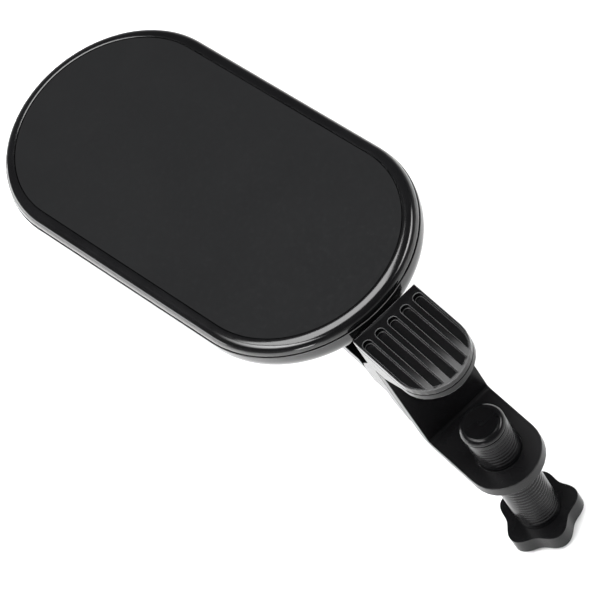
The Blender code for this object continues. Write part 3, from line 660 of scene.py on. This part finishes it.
def crown(pad):
    """Bends the top of the ribbed plate down towards the jaw's tip, and leaves the grooves' floors flat."""
    low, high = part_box("jaw_pad")
    start = low.x + CROWN_START * (high.x - low.x)
    floor = high.z - GROOVE_DEPTH
    bm = bmesh.new()
    bm.from_mesh(pad.data)
    bmesh.ops.triangulate(bm, faces=bm.faces)
    for i in range(CROWN_STEPS):
        at = start + (high.x - start) * i / CROWN_STEPS
        every = list(bm.verts) + list(bm.edges) + list(bm.faces)
        bmesh.ops.bisect_plane(bm, geom=every, dist=MERGE, plane_co=(at, 0.0, 0.0), plane_no=(1.0, 0.0, 0.0))
    for vert in bm.verts:
        share = max(0.0, (vert.co.x - start) / (high.x - start))
        lift = min(1.0, max(0.0, (vert.co.z - floor) / GROOVE_DEPTH))
        vert.co.z -= CROWN_DROP * share ** 2 * lift
    bm.to_mesh(pad.data)
    bm.free()
    pad.data.shade_smooth()
    pad.data.set_sharp_from_angle(angle=SHARP_ANGLE)
    return pad


def make_jaw():
    jaw = rounded(from_cad("upper_jaw", "jaw_body"), 0.7 * MM, 4)
    finish(jaw, "gloss_black", "clamp", "upper_jaw", look="jaw_black")
    pad = crown(rounded(groove_ends(from_cad("jaw_pad", "jaw_plate")), 0.2 * MM, 3))
    finish(pad, "gloss_black", "clamp", "jaw_pad", look="pad_black")
    soften("jaw_liner", "grip_liner", "rubber_black", "clamp", 0.3 * MM, 3)


def make_strap():
    """The folded strap, with a coned collar that closes its threaded hole on to the stud."""
    strap = rounded(from_cad("clamp_strap", "folded_strap"), 0.7 * MM, 4)
    shelf_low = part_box("clamp_strap")[0].z
    shelf_high = shelf_low + STRAP_THICK
    stud_radius = (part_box("clamp_screw")[1].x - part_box("clamp_screw")[0].x) / 2
    bore = stud_radius + COLLAR_ROOM
    rim = bore + COLLAR_WIDE
    collar = [(bore, shelf_high - COLLAR_INSET), (rim, shelf_high - COLLAR_INSET - COLLAR_CONE),
              (rim, shelf_low + COLLAR_INSET + COLLAR_CONE), (bore, shelf_low + COLLAR_INSET)]
    cut(strap, [turned("collar", collar, 72)], "UNION")
    finish(strap, "strap_black", "clamp", "clamp_strap")


def make_strap_screws():
    head = 1.6 * MM
    for i in (1, 2):
        low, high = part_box(f"strap_screw_{i}")
        middle = (low + high) / 2
        lay = Matrix.Translation((low.x + head, middle.y, middle.z)) @ Matrix.Rotation(-math.pi / 2, 4, "Y")
        spin = Matrix.Rotation(math.radians(20.0 + 33.0 * i), 4, "Z")
        radius = (high.z - low.z) / 2
        length = high.x - low.x - head
        screw = cross_screw(f"web_screw_{i}", radius, head, 1.5 * MM, length, 0.7 * MM, lay @ spin)
        finish(screw, "zinc_steel", "clamp", f"strap_screw_{i}")


# ---------------------------------------------------------------- clamping screw
def thread_share(a):
    """How much of the thread stands at an angle: it dies away on the two smooth sides, at -Y and +Y."""
    return 1.0 - min(1.0, max(0.0, (abs(math.sin(a)) - FLAT_START) / FLAT_BLEND))


def thread_skin(radius, top, bottom):
    """The threaded length as one closed skin, its ridge following a true helix."""
    bm = bmesh.new()
    count = int((top - bottom) / THREAD_PITCH * THREAD_ROWS) + 1
    grid = []
    for j in range(-THREAD_ROWS, count + 1):
        wave = (0.5 - 0.5 * math.cos(math.tau * j / THREAD_ROWS)) ** THREAD_SHARPNESS
        row = []
        for i in range(THREAD_COLUMNS + 1):
            a = math.tau * i / THREAD_COLUMNS
            z = top - THREAD_PITCH * (j / THREAD_ROWS + i / THREAD_COLUMNS)
            z = min(top, max(bottom, z))
            near = max(0.0, min((top - z) / THREAD_RUN_OUT, (z - bottom) / THREAD_RUN_OUT, 1.0))
            r = radius - THREAD_CLEAR - THREAD_HEIGHT * wave * thread_share(a) * near
            row.append(bm.verts.new((r * math.cos(a), r * math.sin(a), z)))
        grid.append(row)
    for upper, lower in zip(grid, grid[1:]):
        for i in range(THREAD_COLUMNS):
            bm.faces.new((upper[i], lower[i], lower[i + 1], upper[i + 1]))
    bmesh.ops.remove_doubles(bm, verts=bm.verts, dist=0.004 * MM)
    bmesh.ops.dissolve_degenerate(bm, edges=bm.edges, dist=0.003 * MM)
    rims = [e for e in bm.edges if e.is_boundary]
    bmesh.ops.holes_fill(bm, edges=rims, sides=0)
    return link("thread_skin", bm)


def make_screw():
    low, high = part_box("clamp_screw")
    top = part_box("pressure_foot")[0].z - GAP
    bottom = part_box("hand_knob")[1].z + GAP
    stud = thread_skin((high.x - low.x) / 2, top, bottom)
    pin = SPIGOT_RADIUS
    spigot = [(0.0, high.z), (pin - SPIGOT_EDGE, high.z), (pin, high.z - SPIGOT_EDGE), (pin, top - OVERLAP),
              (0.0, top - OVERLAP)]
    tail = [(0.0, bottom + OVERLAP), (TAIL_RADIUS, bottom + OVERLAP), (TAIL_RADIUS, low.z + TAIL_EDGE),
            (TAIL_RADIUS - TAIL_EDGE, low.z), (TAIL_BORE, low.z), (TAIL_BORE, low.z + TAIL_BORE_DEPTH),
            (0.0, low.z + TAIL_BORE_DEPTH + OVERLAP)]
    cut(stud, [turned("spigot", spigot, 48), turned("tail", tail, 48)], "UNION")
    finish(stud, "screw_black", "screw", "clamp_screw")


def make_foot():
    """The stud's smooth tip: a raised dot in a shallow dish, a wide round edge and a small nick."""
    low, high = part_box("pressure_foot")
    r = (high.x - low.x) / 2
    face = high.z - FOOT_FACE
    dot = FOOT_DOT
    profile = [(0.0, high.z - 0.02 * MM), (dot * 0.55, high.z - 0.04 * MM), (dot * 0.9, high.z - 0.16 * MM),
               (dot, face), (dot + 1.1 * MM, face - 0.04 * MM), (dot + 1.5 * MM, face + 0.02 * MM),
               (r - 2.1 * MM, face + 0.12 * MM)]
    profile += arc((r - FOOT_ROUND, high.z - FOOT_ROUND), FOOT_ROUND, 80, 0, 12)
    profile += [(r, low.z + FOOT_EDGE), (r - 0.88 * FOOT_EDGE, low.z), (FOOT_SOCKET, low.z),
                (FOOT_SOCKET, low.z + FOOT_SOCKET_DEPTH), (0.0, low.z + FOOT_SOCKET_DEPTH)]
    foot = turned("thrust_foot", profile, 96)
    drill = [(0.0, 0.6 * MM), (NICK_RADIUS, 0.3 * MM), (NICK_RADIUS, -0.6 * MM), (0.0, -0.8 * MM)]
    nick = turned("notch", drill, 24, Matrix.Translation((0.35 * r, 0.62 * r, face)))
    cut(foot, [nick])
    finish(foot, "screw_black", "foot", "pressure_foot")


def make_knob():
    knob = rounded(from_cad("hand_knob", "lobed_knob"), 0.6 * MM, 4, 50.0)
    finish(knob, "screw_black", "screw", "hand_knob")
    upright_screw("knob_screw", "knob_bolt", "screw", 0.6 * MM, 1.5 * MM, 0.7 * MM)
    soften("knob_cap", "end_cap", "satin_black", "screw", 0.2 * MM, 3)


# ---------------------------------------------------------------- stage
def make_floor():
    bm = bmesh.new()
    bmesh.ops.create_grid(bm, x_segments=1, y_segments=1, size=FLOOR_HALF)
    floor = link("floor", bm)
    floor.location = (0.0, 0.0, CAD_BOX[0].z - FLOOR_GAP)
    paint = bpy.data.materials.new("pale_floor")
    paint.use_nodes = True
    tree = paint.node_tree
    shader = tree.nodes["Principled BSDF"]
    where = tree.nodes.new("ShaderNodeTexCoord").outputs["Object"]
    cloud = noise(tree, where, 2.0, 4.0)
    share = spread(tree, cloud, 0.3, 0.7, 0.0, 1.0)
    colour = blend_colour(tree, share, (0.8, 0.8, 0.8), (0.84, 0.84, 0.84))
    tree.links.new(colour, shader.inputs["Base Color"])
    shader.inputs["Roughness"].default_value = 0.75
    floor.data.materials.append(paint)


def soft_light(name, place, aim, size, power, fan=180.0):
    """An area light that looks at a point. A narrow fan lights the floor and leaves the object alone."""
    data = bpy.data.lights.new(name, "AREA")
    data.shape = "RECTANGLE"
    data.size, data.size_y = size
    data.energy = power
    data.spread = math.radians(fan)
    lamp = bpy.data.objects.new(name, data)
    lamp.location = place
    lamp.rotation_euler = (Vector(aim) - Vector(place)).to_track_quat("-Z", "Y").to_euler()
    bpy.context.scene.collection.objects.link(lamp)


def make_lights():
    soft_light("overhead", (-0.39, -0.05, 1.5), (-0.39, -0.05, 0.0), (0.98, 1.1), 41.0)
    soft_light("left_low", (-0.95, -0.9, 0.08), (-0.1, 0.0, -0.04), (1.3, 0.3), 9.0)
    soft_light("floor_wash", (-0.14, -0.42, 0.45), (-0.14, -0.34, -0.1), (0.9, 0.35), 6.5, 76.0)
    soft_light("right_wash", (0.2, 0.75, 0.5), (0.1, 0.42, -0.1), (0.7, 0.35), 4.0, 70.0)
    soft_light("front_strip", (0.75, -0.92, -0.02), (0.0, 0.0, -0.02), (0.3, 0.12), 3.0)


def make_world():
    """A dark upper sky over a pale horizon, which the floor carries on below."""
    world = bpy.data.worlds.new("studio")
    world.use_nodes = True
    tree = world.node_tree
    where = tree.nodes.new("ShaderNodeTexCoord").outputs["Generated"]
    height = add(tree, "ShaderNodeSeparateXYZ", Vector=where)
    share = spread(tree, height.outputs["Z"], -0.02, 0.3, 0.0, 1.0)
    sky = blend_colour(tree, share, (0.95, 0.95, 0.95), (0.066, 0.066, 0.0675))
    tree.links.new(sky, tree.nodes["Background"].inputs["Color"])
    bpy.context.scene.world = world


def make_camera():
    data = bpy.data.cameras.new("camera")
    data.lens = CAMERA_LENS
    data.sensor_width = 36.0
    data.clip_end = 20.0
    camera = bpy.data.objects.new("camera", data)
    base = Vector((SWIVEL.x, SWIVEL.y, GLASS_TOP))
    look = (CAMERA_AIM - CAMERA_PLACE).to_track_quat("-Z", "Y").to_matrix().to_4x4()
    roll = Matrix.Rotation(CAMERA_ROLL, 4, "Z")
    camera.matrix_world = Matrix.Translation(base + CAMERA_PLACE) @ look @ roll
    bpy.context.scene.collection.objects.link(camera)
    bpy.context.scene.camera = camera


make_camera()
make_lights()
make_world()
make_floor()
make_glass()
make_bezel()
make_housing()
make_head_screws()
make_joint()
make_spring_washer()
make_nut()
make_jaw()
make_strap()
make_strap_screws()
make_screw()
make_foot()
make_knob()
bpy.context.scene.view_settings.view_transform = "Standard"
